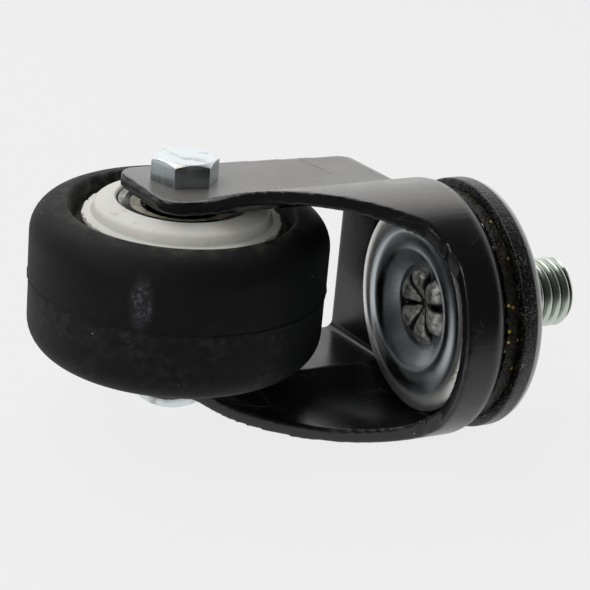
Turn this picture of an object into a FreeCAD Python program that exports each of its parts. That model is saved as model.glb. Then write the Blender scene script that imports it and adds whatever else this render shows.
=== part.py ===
"""Swivel castor with a threaded stem: pressed fork, double ball swivel head, rubber wheel.

Frame, in millimetres: +Z runs along the swivel axis towards the end of the threaded stem.
The origin is on that axis, in the mounting face of the swivel head. The wheel hangs below
it, with its axle along Y and its centre on the +X side. The bolt head is on the +Y side.
"""
import FreeCAD, Part
import math
import os

# Overall layout
axle_drop = 45.0
trail = 22.6

# Rubber tyre
wheel_radius = 25.0
tyre_half_width = 12.6
tyre_shoulder_radius = 5.3
tyre_side_radius = 19.0
tyre_side_rounding = 0.9
groove_radius = 17.6
groove_height = 9.9
groove_rounding = 0.7
flash_height = 0.2
flash_half_width = 0.25

# Plastic hub that the tyre is moulded on
hub_core_radius = 18.2
hub_lock_height = 9.0
hub_lock_step = 0.8
hub_neck_radius = 15.9
hub_flange_radius = 16.5
hub_flange_height = 11.2
hub_flange_thickness = 0.9
hub_ring_radius = 14.6
hub_ring_height = 13.0
hub_ring_foot = 0.4
hub_rim_height = 14.0
hub_rounding = 0.5
hub_bore_chamfer = 0.3
hub_middle_radius = 8.6

# Two ball bearings in the hub
bearing_bore_radius = 4.0
bearing_width = 7.0
bearing_inset = 0.5
bearing_chamfer = 0.35
outer_ring_lip_reach = 1.9
outer_ring_shoulder_reach = 1.3
outer_ring_wall = 2.1
outer_ring_lip_depth = 1.1
inner_ring_shoulder_reach = 1.4
inner_ring_wall = 2.2
bearing_ball_radius = 1.8
bearing_track_play = 0.05
bearing_ball_count = 8
cage_inner_reach = 0.6
cage_play = 0.15
cage_back = 0.6
cage_front_inset = 0.6
cage_pocket_play = 0.06

# Axle: hexagon bolt and nut, sleeve, distance tube and collars
bolt_radius = 3.0
hexagon_width = 10.0
bolt_head_height = 4.0
nut_height = 5.0
bolt_end_past_nut = 0.6
bolt_end_chamfer = 0.6
hexagon_chamfer_drop = 0.55
sleeve_play = 0.1
nut_thread_play = 0.02
bolt_head_turn = 19.7
distance_tube_radius = 5.4
collar_radius = 5.8

# Fork: one pressing, its crown a drawn cup whose wall runs on into the two legs
sheet = 2.4
ear_half_gap = 15.0
crown_ledge = 6.65
crown_shoulder_rounding = 3.4
crown_inner_rounding = 1.0
crown_hole_radius = 8.6
dome_rounding = 0.9
riser_wall = 2.0
web_depth = 9.3
web_bend_radius = 3.6
web_far_reach = 4.9
web_slope = 8.0
web_start = 10.5
skirt_depth = 14.9
skirt_end_reach = 12.4
leg_spread = 0.1
leg_knee_rise = 5.9
leg_knee_radius = 22.0
ear_bend_drop = 1.0
ear_bend_radius = 6.0
ear_near_reach = 11.2
ear_near_drop = 1.3
ear_near_bend = 6.0
ear_corner_reach = 10.7
ear_corner_drop = 7.8
ear_corner_rounding = 4.8
ear_end_drop = 9.5
ear_end_reach = 7.8
ear_end_rounding = 3.2
relief_radius = 0.6
bolt_hole_play = 0.25

# Swivel head: two ball races on a kingpin that is one piece with the threaded stem
top_race_sheet = 2.4
top_race_wall = 1.95
top_race_depth = 4.1
top_race_rounding = 2.6
upper_ball_radius = 2.0
upper_track_play = 0.1
upper_ball_count = 22
dome_gap = 2.2
lower_ball_radius = 1.75
lower_track_play = 0.1
lower_pitch_radius = 11.0
lower_ball_count = 16
lower_race_sheet = 1.7
race_wall_gap = 1.9
lower_race_flank = 35.0
lower_race_bend = 1.8
race_floor_rise = 2.2
race_valley_gap = 0.4
race_rim_drop = 1.4
kingpin_radius = 7.2
neck_radius = 5.0
stem_seat_radius = 6.6
stem_radius = 5.9
stem_length = 16.2
stem_chamfer = 1.1
thread_pitch = 1.75
thread_depth = 1.05
thread_crest = 0.45
thread_root = 0.3
thread_turns = 8

# Staked end of the kingpin, pressed into six petals
star_petals = 6
star_radius = 6.9
petal_height = 1.4
star_turn = 15.0

# Places worked out from the sizes above
axle_z = -axle_drop
web_z = -web_depth
skirt_z = -skirt_depth
ear_outer = ear_half_gap + sheet
upper_track_radius = upper_ball_radius + upper_track_play
lower_track_radius = lower_ball_radius + lower_track_play
upper_ball_z = -(top_race_sheet + upper_track_radius)
shoulder_z = upper_ball_z - upper_track_radius
dome_z = -(top_race_sheet + dome_gap)
lower_ball_z = dome_z - sheet - lower_track_radius
riser_inner_radius = lower_pitch_radius + lower_track_radius
riser_outer_radius = riser_inner_radius + riser_wall
upper_pitch_radius = riser_outer_radius + upper_track_radius
rim_inner_radius = upper_pitch_radius + upper_track_radius
top_race_radius = rim_inner_radius + top_race_wall
crown_radius = riser_outer_radius + crown_ledge
lower_race_radius = crown_radius - sheet - race_wall_gap
race_floor_top = lower_ball_z - lower_track_radius + race_floor_rise
race_floor_z = race_floor_top - lower_race_sheet
inner_ring_shoulder_radius = bearing_bore_radius + inner_ring_wall
bearing_pitch_radius = inner_ring_shoulder_radius + inner_ring_shoulder_reach
cage_inner_radius = bearing_pitch_radius - cage_inner_reach
outer_ring_lip_radius = bearing_pitch_radius + outer_ring_lip_reach
outer_ring_shoulder_radius = bearing_pitch_radius + outer_ring_shoulder_reach
bearing_outer_radius = outer_ring_shoulder_radius + outer_ring_wall
bearing_face = hub_rim_height - bearing_inset
bearing_back = bearing_face - bearing_width
bearing_middle = bearing_face - bearing_width / 2
bearing_track_radius = bearing_ball_radius + bearing_track_play
nut_face = -(ear_outer + nut_height)
cut_reach = 3 * crown_radius

origin = FreeCAD.Vector(0, 0, 0)
along_x = FreeCAD.Vector(1, 0, 0)
along_y = FreeCAD.Vector(0, 1, 0)
along_z = FreeCAD.Vector(0, 0, 1)


def outline(corners):
    """Closed wire in the XZ plane; a corner is (x, z), or (x, z, radius) where it is rounded."""
    points = [FreeCAD.Vector(corner[0], 0, corner[1]) for corner in corners]
    arrive = list(points)
    leave = list(points)
    edges = []
    for index, corner in enumerate(corners):
        if len(corner) == 2:
            continue
        point = points[index]
        back = (points[index - 1] - point).normalize()
        ahead = (points[(index + 1) % len(points)] - point).normalize()
        half_angle = back.getAngle(ahead) / 2
        inward = (back + ahead).normalize()
        arrive[index] = point + back * (corner[2] / math.tan(half_angle))
        leave[index] = point + ahead * (corner[2] / math.tan(half_angle))
        middle = point + inward * (corner[2] / math.sin(half_angle) - corner[2])
        edges.append(Part.Arc(arrive[index], middle, leave[index]).toShape())
    for index, start in enumerate(leave):
        end = arrive[(index + 1) % len(points)]
        if start.distanceToPoint(end) > Part.Precision.confusion():
            edges.append(Part.makeLine(start, end))
    return Part.Wire(Part.__sortEdges__(edges))


def both_halves(half):
    """Whole outline of a piece that is alike each side of z = 0, from its upper half."""
    lower = [(corner[0], -corner[1]) + tuple(corner[2:]) for corner in reversed(half)]
    return list(half) + [corner for corner in lower if corner[1] != 0]


def other_face(line, thickness):
    """The line of corners on the other face of pressed sheet: the given one moved square to it."""
    ways = []
    for start, end in zip(line, line[1:]):
        way = FreeCAD.Vector(end[0] - start[0], 0, end[1] - start[1]).normalize()
        ways.append(way)
    under = []
    for index, corner in enumerate(line):
        before = ways[max(index - 1, 0)]
        after = ways[min(index, len(ways) - 1)]
        down = FreeCAD.Vector(before.z + after.z, 0, -before.x - after.x)
        move = down * (thickness / (1 + before.dot(after)))
        moved = (corner[0] + move.x, corner[1] + move.z)
        if len(corner) == 3:
            turns_down = before.x * after.z - before.z * after.x < 0
            moved += (corner[2] - thickness if turns_down else corner[2] + thickness,)
        under.append(moved)
    return under


def turned(corners):
    """Solid of revolution about Z from (radius, height) corners."""
    return Part.Face(outline(corners)).revolve(origin, along_z, 360)


def prism_along_y(corners):
    """Long prism along Y from corners in the XZ plane."""
    face = Part.Face(outline(corners))
    face.translate(along_y * -cut_reach)
    return face.extrude(along_y * (2 * cut_reach))


def prism_along_x(corners, start, end):
    """Prism along X from (y, z) corners."""
    face = Part.Face(outline(corners))
    face.rotate(origin, along_z, 90)
    face.translate(along_x * start)
    return face.extrude(along_x * (end - start))


def on_axle(shape):
    """Moves a shape made about Z onto the wheel's axle, its +Z turned to +Y."""
    shape.rotate(origin, along_x, -90)
    shape.translate(FreeCAD.Vector(trail, 0, axle_z))
    return shape


def ring_of_balls(count, ball_radius, pitch_radius, height):
    """Separate balls, evenly spaced round Z."""
    balls = []
    for index in range(count):
        ball = Part.makeSphere(ball_radius, FreeCAD.Vector(pitch_radius, 0, height))
        ball.rotate(origin, along_z, index * 360 / count)
        balls.append(ball)
    return Part.makeCompound(balls)


def tyre():
    """Rubber tyre with round shoulders, a groove beside the hub and flash round its tread."""
    half = [
        (hub_core_radius, 0),
        (hub_core_radius, hub_lock_height - hub_lock_step),
        (hub_neck_radius, hub_lock_height),
        (hub_neck_radius, groove_height),
        (groove_radius, groove_height, groove_rounding),
        (tyre_side_radius, tyre_half_width, tyre_side_rounding),
        (wheel_radius, tyre_half_width, tyre_shoulder_radius),
        (wheel_radius, flash_half_width),
        (wheel_radius + flash_height, 0),
    ]
    return on_axle(turned(both_halves(half)))


def wheel_hub():
    """Plastic hub: raised rings round the bearing pockets, thin flanges and a locking rib."""
    flange_under = hub_flange_height - hub_flange_thickness
    half = [
        (hub_middle_radius, 0),
        (hub_middle_radius, bearing_back),
        (bearing_outer_radius, bearing_back),
        (bearing_outer_radius, hub_rim_height - hub_bore_chamfer),
        (bearing_outer_radius + hub_bore_chamfer, hub_rim_height),
        (hub_ring_radius, hub_ring_height, hub_rounding),
        (hub_ring_radius + hub_ring_foot, hub_flange_height, hub_rounding),
        (hub_flange_radius, hub_flange_height),
        (hub_flange_radius, flange_under),
        (hub_neck_radius, flange_under),
        (hub_neck_radius, hub_lock_height),
        (hub_core_radius, hub_lock_height - hub_lock_step),
        (hub_core_radius, 0),
    ]
    return on_axle(turned(both_halves(half)))


def outer_ring():
    """Outer ring of a bearing, stepped down inside its lip, with a ball track."""
    half_width = bearing_width / 2
    step = half_width - outer_ring_lip_depth
    half = [
        (outer_ring_shoulder_radius, 0),
        (outer_ring_shoulder_radius, step),
        (outer_ring_lip_radius, step),
        (outer_ring_lip_radius, half_width),
        (bearing_outer_radius - bearing_chamfer, half_width),
        (bearing_outer_radius, half_width - bearing_chamfer),
        (bearing_outer_radius, 0),
    ]
    return turned(both_halves(half)).cut(Part.makeTorus(bearing_pitch_radius, bearing_track_radius))


def inner_ring():
    """Inner ring of a bearing, with a ball track."""
    half_width = bearing_width / 2
    half = [
        (bearing_bore_radius, 0),
        (bearing_bore_radius, half_width - bearing_chamfer),
        (bearing_bore_radius + bearing_chamfer, half_width),
        (inner_ring_shoulder_radius, half_width),
        (inner_ring_shoulder_radius, 0),
    ]
    return turned(both_halves(half)).cut(Part.makeTorus(bearing_pitch_radius, bearing_track_radius))


def cage():
    """Moulded crown cage, open on its back, with a round pocket for each ball."""
    outer_radius = outer_ring_shoulder_radius - cage_play
    front = bearing_width / 2 - cage_front_inset
    corners = [
        (cage_inner_radius, -cage_back),
        (outer_radius, -cage_back),
        (outer_radius, front),
        (cage_inner_radius, front),
    ]
    pockets = ring_of_balls(
        bearing_ball_count, bearing_ball_radius + cage_pocket_play, bearing_pitch_radius, 0
    )
    return turned(corners).cut(pockets)


def bearing_pieces():
    """Pieces of one bearing, about its own middle, its open front towards +Z."""
    return {
        "outer_ring": outer_ring(),
        "inner_ring": inner_ring(),
        "balls": ring_of_balls(bearing_ball_count, bearing_ball_radius, bearing_pitch_radius, 0),
        "cage": cage(),
    }


def tube(inner_radius, outer_radius, start, end):
    """Plain tube on the axle, between two places along it."""
    corners = [
        (inner_radius, start),
        (outer_radius, start),
        (outer_radius, end),
        (inner_radius, end),
    ]
    return on_axle(turned(corners))


def hexagon(height):
    """Hexagon prism standing on z = 0, the corners of its top turned off at a slant."""
    corner_radius = hexagon_width / math.sqrt(3)
    corners = []
    for index in range(6):
        turn = math.radians(60 * index)
        corners.append((corner_radius * math.cos(turn), corner_radius * math.sin(turn)))
    face = Part.Face(outline(corners))
    face.rotate(origin, along_x, 90)
    cone = [
        (0, 0),
        (corner_radius, 0),
        (corner_radius, height - hexagon_chamfer_drop),
        (hexagon_width / 2, height),
        (0, height),
    ]
    solid = face.extrude(along_z * height)
    return solid.common(turned(cone))


def axle_bolt():
    """Hexagon bolt through both ears, its head on the +Y ear."""
    shank = [
        (0, nut_face - bolt_end_past_nut),
        (bolt_radius - bolt_end_chamfer, nut_face - bolt_end_past_nut),
        (bolt_radius, nut_face - bolt_end_past_nut + bolt_end_chamfer),
        (bolt_radius, ear_outer),
        (0, ear_outer),
    ]
    head = hexagon(bolt_head_height)
    head.rotate(origin, along_z, bolt_head_turn)
    head.translate(along_z * ear_outer)
    return on_axle(turned(shank).fuse(head).removeSplitter())


def axle_nut():
    """Hexagon nut on the -Y ear."""
    nut = hexagon(nut_height).cut(Part.makeCylinder(bolt_radius + nut_thread_play, nut_height))
    nut.rotate(origin, along_x, 180)
    nut.translate(along_z * -ear_outer)
    return on_axle(nut)


def leg_line():
    """(y, z) line down the outside of a leg: the crown's wall bends in and then runs down the ear."""
    wall = crown_radius + leg_spread
    return [
        (wall, 0),
        (wall, axle_z + leg_knee_rise, leg_knee_radius),
        (ear_outer, axle_z - ear_bend_drop, ear_bend_radius),
        (ear_outer, axle_z - cut_reach),
    ]


def between_legs(line):
    """Long prism along X between a leg's (y, z) line and its mirror image."""
    other_side = [(-corner[0],) + tuple(corner[1:]) for corner in reversed(line)]
    return prism_along_x(list(line) + other_side, -cut_reach, cut_reach)


def web_channel(half_width, height, bend_radius, reach):
    """Long box under the web, whose roof rises towards the crown and is rounded into the legs."""
    bottom = axle_z - 2 * reach
    corners = [
        (-half_width, bottom),
        (half_width, bottom),
        (half_width, height, bend_radius),
        (-half_width, height, bend_radius),
    ]
    box = prism_along_x(corners, web_start, reach)
    box.rotate(FreeCAD.Vector(trail + web_far_reach, 0, height), along_y, web_slope)
    return box


def fork_outside():
    """Everything inside the outer surface of the fork's sheet."""
    bottom = axle_z - cut_reach
    cup = [
        (0, bottom),
        (crown_radius, bottom),
        (crown_radius, shoulder_z, crown_shoulder_rounding),
        (riser_outer_radius, shoulder_z, upper_track_radius),
        (riser_outer_radius, dome_z, dome_rounding),
        (0, dome_z),
    ]
    wall = turned(cup).common(between_legs(leg_line()))
    return wall.fuse(web_channel(ear_outer, web_z, web_bend_radius, cut_reach))


def fork_inside():
    """Everything inside the inner surface of the fork's sheet."""
    bottom = axle_z - 2 * cut_reach
    cup = [
        (0, bottom),
        (crown_radius - sheet, bottom),
        (crown_radius - sheet, shoulder_z - sheet, crown_inner_rounding),
        (riser_inner_radius, shoulder_z - sheet),
        (riser_inner_radius, dome_z - sheet, lower_track_radius),
        (0, dome_z - sheet),
    ]
    hollow = turned(cup).common(between_legs(other_face(leg_line(), sheet)))
    bend_radius = web_bend_radius - sheet
    return hollow.fuse(web_channel(ear_half_gap, web_z - sheet, bend_radius, 2 * cut_reach))


def fork_side_view():
    """Prism of the blank's outline seen from the side: skirt, slanting near edge and ears."""
    corners = [
        (-cut_reach, cut_reach),
        (-cut_reach, skirt_z),
        (-skirt_end_reach, skirt_z),
        (trail - ear_near_reach, axle_z - ear_near_drop, ear_near_bend),
        (trail - ear_corner_reach, axle_z - ear_corner_drop, ear_corner_rounding),
        (trail + ear_end_reach, axle_z - ear_end_drop, ear_end_rounding),
        (trail + web_far_reach, web_z),
        (trail + web_far_reach, cut_reach),
    ]
    relief_place = FreeCAD.Vector(-skirt_end_reach, -cut_reach, skirt_z)
    relief = Part.makeCylinder(relief_radius, 2 * cut_reach, relief_place, along_y)
    return prism_along_y(corners).cut(relief)


def fork():
    """Pressed fork: drawn crown with both ball tracks, web, short skirt, legs and ears."""
    body = fork_outside().cut(fork_inside()).common(fork_side_view())
    crown_hole = Part.makeCylinder(crown_hole_radius, cut_reach, along_z * -cut_reach)
    bolt_hole = Part.makeCylinder(bolt_radius + bolt_hole_play, 2 * cut_reach)
    bolt_hole.translate(along_z * -cut_reach)
    body = body.cut(crown_hole).cut(on_axle(bolt_hole))
    return body.removeSplitter()


def top_race():
    """Upper race: a pressed cap whose turned-down rim holds the upper balls."""
    corners = [
        (stem_seat_radius, 0),
        (top_race_radius, 0, top_race_rounding),
        (top_race_radius, -top_race_depth),
        (rim_inner_radius, -top_race_depth),
        (rim_inner_radius, -top_race_sheet, upper_track_radius),
        (stem_seat_radius, -top_race_sheet),
    ]
    return turned(corners)


def lower_race():
    """Lower race: a dished washer with a ball groove that shows as a ridge from below."""
    flank = math.radians(lower_race_flank)
    groove_corner_z = lower_ball_z - lower_track_radius / math.cos(flank)
    valley_top = shoulder_z - sheet - race_valley_gap
    floor_run = (race_floor_top - groove_corner_z) / math.tan(flank)
    valley_run = (valley_top - groove_corner_z) / math.tan(flank)
    line = [
        (neck_radius, race_floor_top),
        (lower_pitch_radius - floor_run, race_floor_top, lower_race_bend),
        (lower_pitch_radius, groove_corner_z, lower_track_radius),
        (lower_pitch_radius + valley_run, valley_top, lower_race_bend),
        (lower_race_radius, valley_top - race_rim_drop),
    ]
    return turned(line + other_face(line, lower_race_sheet)[::-1])


def staked_star():
    """Petals pressed into the pin's end: half-sunk cones with round ends, their points meeting."""
    spread = math.pi / star_petals
    petal_radius = star_radius * math.sin(spread) / (1 + math.sin(spread))
    round_centre = star_radius - petal_radius
    sunk_by = petal_radius - petal_height
    cone_end = round_centre - petal_radius * math.sin(spread)
    cone_radius = petal_radius * math.cos(spread)
    petals = []
    for index in range(star_petals):
        petal = Part.makeCone(0, cone_radius, cone_end, origin, along_x)
        petal = petal.fuse(Part.makeSphere(petal_radius, along_x * round_centre))
        petal.rotate(origin, along_z, star_turn + index * 360 / star_petals)
        petals.append(petal)
    star = petals[0].fuse(petals[1:])
    star.translate(along_z * (race_floor_z + sunk_by))
    below = Part.makeCylinder(2 * star_radius, 2 * star_radius, along_z * race_floor_z, -along_z)
    return star.common(below)


def thread_rings():
    """(radius, height) corners of the stem's rolled thread, drawn as rings."""
    flank = (thread_pitch - thread_crest - thread_root) / 2
    root_radius = stem_radius - thread_depth
    corners = []
    for index in range(thread_turns):
        start = thread_crest + index * thread_pitch
        corners.append((stem_radius, start))
        corners.append((root_radius, start + flank))
        corners.append((root_radius, start + flank + thread_root))
        corners.append((stem_radius, start + 2 * flank + thread_root))
    return corners


def threaded_stem():
    """Stem and kingpin in one: threaded stem, barrel, neck and staked end."""
    corners = [
        (0, race_floor_z),
        (neck_radius, race_floor_z),
        (neck_radius, race_floor_top),
        (kingpin_radius, race_floor_top),
        (kingpin_radius, -top_race_sheet),
        (stem_seat_radius, -top_race_sheet),
        (stem_seat_radius, 0),
        (stem_radius, 0),
    ]
    corners += thread_rings()
    corners += [
        (stem_radius, stem_length - stem_chamfer),
        (stem_radius - stem_chamfer, stem_length),
        (0, stem_length),
    ]
    return turned(corners).fuse(staked_star()).removeSplitter()


def all_nodes():
    """Every piece by the name of its node."""
    nodes = {
        "tyre": tyre(),
        "wheel_hub": wheel_hub(),
        "axle_bolt": axle_bolt(),
        "axle_nut": axle_nut(),
        "axle_sleeve": tube(
            bolt_radius + sleeve_play, bearing_bore_radius, -ear_half_gap, ear_half_gap
        ),
        "distance_tube": tube(
            bearing_bore_radius, distance_tube_radius, -bearing_back, bearing_back
        ),
        "head_side_collar": tube(
            bearing_bore_radius, collar_radius, bearing_face, ear_half_gap
        ),
        "nut_side_collar": tube(
            bearing_bore_radius, collar_radius, -ear_half_gap, -bearing_face
        ),
        "fork": fork(),
        "threaded_stem": threaded_stem(),
        "top_race": top_race(),
        "lower_race": lower_race(),
        "upper_swivel_balls": ring_of_balls(
            upper_ball_count, upper_ball_radius, upper_pitch_radius, upper_ball_z
        ),
        "lower_swivel_balls": ring_of_balls(
            lower_ball_count, lower_ball_radius, lower_pitch_radius, lower_ball_z
        ),
    }
    for side, flip in (("head_side", 0), ("nut_side", 180)):
        for name, shape in bearing_pieces().items():
            shape.translate(along_z * bearing_middle)
            shape.rotate(origin, along_x, flip)
            nodes[side + "_" + name] = on_axle(shape)
    return nodes


os.makedirs("parts", exist_ok=True)
for name, shape in all_nodes().items():
    piece = shape.Solids[0] if len(shape.Solids) == 1 else shape
    piece.exportStep(os.path.join("parts", name + ".step"))
    print(name, piece.ShapeType, len(piece.Solids), round(piece.Volume, 2), piece.isValid())
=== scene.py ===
"""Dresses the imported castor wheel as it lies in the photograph: on its side, bolt head up."""

import math

import bmesh
import bpy
from mathutils import Matrix, Vector, noise
from mathutils.bvhtree import BVHTree
from mathutils.kdtree import KDTree


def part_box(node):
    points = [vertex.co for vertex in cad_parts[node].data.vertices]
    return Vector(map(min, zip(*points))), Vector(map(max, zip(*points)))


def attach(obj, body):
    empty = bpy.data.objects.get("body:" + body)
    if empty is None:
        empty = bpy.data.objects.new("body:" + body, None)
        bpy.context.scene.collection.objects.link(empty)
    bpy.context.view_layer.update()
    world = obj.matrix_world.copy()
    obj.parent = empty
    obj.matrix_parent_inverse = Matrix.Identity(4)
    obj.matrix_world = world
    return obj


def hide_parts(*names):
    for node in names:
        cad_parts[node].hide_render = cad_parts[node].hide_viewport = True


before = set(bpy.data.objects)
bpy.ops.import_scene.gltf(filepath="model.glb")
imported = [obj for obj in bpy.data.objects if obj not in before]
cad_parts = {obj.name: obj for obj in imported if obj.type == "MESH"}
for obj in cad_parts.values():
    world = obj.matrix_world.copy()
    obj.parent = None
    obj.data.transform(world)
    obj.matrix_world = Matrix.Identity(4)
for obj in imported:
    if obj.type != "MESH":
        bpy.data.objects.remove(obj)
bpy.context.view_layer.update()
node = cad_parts


# Camera: it stands where the photograph's did, from a fit of the picture's ellipses to the
# model. The picture is 590 x 590, so both sensor sides are 36 mm.
MM = 0.001

bpy.context.scene.view_settings.view_transform = "Standard"
camera = bpy.data.objects.new("camera", bpy.data.cameras.new("camera"))
bpy.context.scene.collection.objects.link(camera)
bpy.context.scene.camera = camera
camera.location = Vector((-251.593, 122.587, -174.496)) * MM
camera.rotation_euler = [math.radians(a) for a in (167.266, -62.577, 169.185)]
camera.data.sensor_width = 36
camera.data.sensor_height = 36
camera.data.lens = 118.763
camera.data.clip_start = 0.01


# Studio floor: a sweep of matt white paper that the castor lies on with its bolt's end and its
# head's rim, tilted to touch both. The camera sees it as plain white; polished metal sees it glow,
# a painted reflection that dims towards the photographer's side.
def linear(hex_code):
    """Linear colour, with alpha, of an sRGB hex code."""
    channels = [int(hex_code[i : i + 2], 16) / 255 for i in (0, 2, 4)]
    return [c / 12.92 if c <= 0.04045 else ((c + 0.055) / 1.055) ** 2.4 for c in channels] + [1.0]


def out_of(source):
    """A node's first output, or the socket itself."""
    return source.outputs[0] if isinstance(source, bpy.types.Node) else source


def add(tree, kind, inputs=(), **settings):
    """New shader node: its settings, then its inputs as values or as nodes or sockets to link."""
    made = tree.nodes.new(kind)
    for key, value in settings.items():
        setattr(made, key, value)
    for key, value in dict(inputs).items():
        value = out_of(value)
        if isinstance(value, bpy.types.NodeSocket):
            tree.links.new(value, made.inputs[key])
        else:
            made.inputs[key].default_value = value
    return made


PAPER = linear("f0f0f0")
PAPER_SIDE = 1.5
PAPER_GLOW = 0.93
PAPER_GAP = 0.2 * MM
RIM_REST = 2.0 * MM
PHOTOGRAPHER = Vector((-0.81, 0.39, -0.44))

bolt_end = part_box("axle_bolt")[0]
head_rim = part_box("top_race")[0]
slope = (head_rim.y - bolt_end.y) / (head_rim.z + RIM_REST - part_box("axle_bolt")[1].z)
sweep = bmesh.new()
bmesh.ops.create_grid(sweep, x_segments=1, y_segments=1, size=PAPER_SIDE)
bmesh.ops.rotate(sweep, verts=sweep.verts, matrix=Matrix.Rotation(math.radians(-90), 3, "X"))
for vert in sweep.verts:
    vert.co.y = bolt_end.y - PAPER_GAP + slope * (vert.co.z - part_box("axle_bolt")[0].z)
sweep_mesh = bpy.data.meshes.new("paper_sweep")
sweep.to_mesh(sweep_mesh)
sweep.free()
floor = bpy.data.objects.new("paper_sweep", sweep_mesh)
bpy.context.scene.collection.objects.link(floor)

paper = bpy.data.materials.new("matt_white_paper")
paper.use_nodes = True
tree = paper.node_tree
shader = tree.nodes["Principled BSDF"]
shader.inputs["Base Color"].default_value = PAPER
shader.inputs["Roughness"].default_value = 0.9
rays = add(tree, "ShaderNodeLightPath")
seen = add(
    tree, "ShaderNodeMath", {0: rays.outputs["Is Camera Ray"], 1: PAPER_GLOW}, operation="MULTIPLY"
)
place = add(tree, "ShaderNodeTexCoord").outputs["Object"]
nearer = add(tree, "ShaderNodeVectorMath", {0: place, 1: PHOTOGRAPHER}, operation="DOT_PRODUCT")
# Painted reflection: the glow that polished metal sees dims towards the photographer's side.
shade = add(
    tree, "ShaderNodeMapRange",
    {
        "Value": nearer.outputs["Value"], "From Min": 0.0, "From Max": 0.09,
        "To Min": 0.92, "To Max": 0.08,
    },
    interpolation_type="SMOOTHSTEP",
)
mirrored = add(
    tree, "ShaderNodeMix", {0: rays.outputs["Is Glossy Ray"], 2: 1.0, 3: shade}, data_type="FLOAT"
)
most = add(tree, "ShaderNodeMath", {0: seen, 1: rays.outputs["Is Glossy Ray"]}, operation="MAXIMUM")
glow = add(tree, "ShaderNodeEmission", {"Color": PAPER, "Strength": mirrored})
lit = add(tree, "ShaderNodeMixShader", {0: most, 1: shader, 2: glow})
behind = add(tree, "ShaderNodeNewGeometry").outputs["Backfacing"]
clear = add(tree, "ShaderNodeBsdfTransparent")
one_sided = add(tree, "ShaderNodeMixShader", {0: behind, 1: lit, 2: clear})
tree.links.new(one_sided.outputs[0], tree.nodes["Material Output"].inputs["Surface"])
sweep_mesh.materials.append(paper)


# Studio room and lamps: a plain pale room that is dim on the photographer's side, one big
# soft box above the castor, a weaker one past the tyre, and a fill that no polish reflects.
ROOM_FAR = 1.12
ROOM_NEAR = 0.04

world = bpy.data.worlds.new("pale_room")
bpy.context.scene.world = world
world.use_nodes = True
tree = world.node_tree
toward = add(tree, "ShaderNodeTexCoord").outputs["Generated"]
facing = add(tree, "ShaderNodeVectorMath", {0: toward, 1: PHOTOGRAPHER}, operation="DOT_PRODUCT")
dim = add(
    tree, "ShaderNodeMapRange",
    {
        "Value": facing.outputs["Value"], "From Min": -0.6, "From Max": 0.12,
        "To Min": ROOM_FAR, "To Max": ROOM_NEAR,
    },
    interpolation_type="SMOOTHSTEP",
)
rays = add(tree, "ShaderNodeLightPath")
chosen = add(
    tree, "ShaderNodeMix",
    {0: rays.outputs["Is Camera Ray"], 2: dim, 3: PAPER[0]},
    data_type="FLOAT",
)
tree.links.new(chosen.outputs[0], tree.nodes["Background"].inputs["Color"])

for name, way, distance, side, watts, mirrored in (
    ("soft_box_above", (0.45, 1.0, -0.35), 0.55, 0.45, 1.5, True),
    ("soft_box_past_tyre", (-0.1, 0.5, -1.0), 0.7, 0.4, 1.2, True),
    ("fill_by_the_camera", PHOTOGRAPHER, 0.7, 0.4, 1.3, False),
):
    lamp = bpy.data.objects.new(name, bpy.data.lights.new(name, "AREA"))
    bpy.context.scene.collection.objects.link(lamp)
    lamp.data.shape = "SQUARE"
    lamp.data.size = side
    lamp.data.energy = watts
    lamp.visible_glossy = mirrored
    aim = Vector((0.01, 0, -0.025))
    lamp.location = aim + Vector(way).normalized() * distance
    lamp.rotation_euler = (aim - lamp.location).to_track_quat("-Z", "Y").to_euler()


# Threaded stem and kingpin: one pin, cold-formed from steel and zinc-plated. The thread is
# rolled on the stem, and the far end is staked into six petals that hold the lower race.
def start_material(name, **principled):
    """A material with its Principled shader set, and Object coordinates to work from."""
    material = bpy.data.materials.new(name)
    material.use_nodes = True
    tree = material.node_tree
    shader = tree.nodes["Principled BSDF"]
    for key, value in principled.items():
        shader.inputs[key.replace("_", " ")].default_value = value
    place = add(tree, "ShaderNodeTexCoord").outputs["Object"]
    return material, tree, shader, place


def link_to(shader, **sources):
    """Links nodes or sockets to the shader's inputs of these names."""
    for key, source in sources.items():
        shader.id_data.links.new(out_of(source), shader.inputs[key.replace("_", " ")])


def from_axis(tree, place, across=(1.0, 1.0, 0.0)):
    """Distance from the axis through place's origin that lies square to the across directions."""
    flat = add(tree, "ShaderNodeVectorMath", {0: place, 1: across}, operation="MULTIPLY")
    return add(tree, "ShaderNodeVectorMath", {0: flat}, operation="LENGTH").outputs["Value"]


def grain(size):
    """Noise scale at which a pattern's features are about this many millimetres."""
    return 1 / (size * MM)


def dressed(name, shape, body, replaced, slot, *materials, angle=35):
    """Puts a shape in millimetres in the scene as a piece on its body, in place of CAD nodes."""
    bmesh.ops.scale(shape, vec=Vector((MM, MM, MM)), verts=shape.verts)
    mesh = bpy.data.meshes.new(name)
    shape.to_mesh(mesh)
    shape.free()
    piece = bpy.data.objects.new(name, mesh)
    bpy.context.scene.collection.objects.link(piece)
    for material in materials:
        mesh.materials.append(material)
    mesh.shade_smooth()
    mesh.set_sharp_from_angle(angle=math.radians(angle))
    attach(piece, body)
    if replaced:
        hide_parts(*replaced)
    return piece


def cut_off(shape, point, way):
    """Takes off what lies past a point in a direction, and gives the edges of the cut."""
    cut = bmesh.ops.bisect_plane(
        shape, geom=shape.verts[:] + shape.edges[:] + shape.faces[:], dist=0.0001,
        plane_co=point, plane_no=way, clear_outer=True,
    )
    return [item for item in cut["geom_cut"] if isinstance(item, bmesh.types.BMEdge)]


def shape_of(name):
    """A merged copy of a CAD node's loose triangles, to work on, in millimetres."""
    shape = bmesh.new()
    shape.from_mesh(node[name].data)
    bmesh.ops.scale(shape, vec=Vector((1, 1, 1)) / MM, verts=shape.verts)
    bmesh.ops.remove_doubles(shape, verts=shape.verts, dist=0.0005)
    return shape


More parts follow.
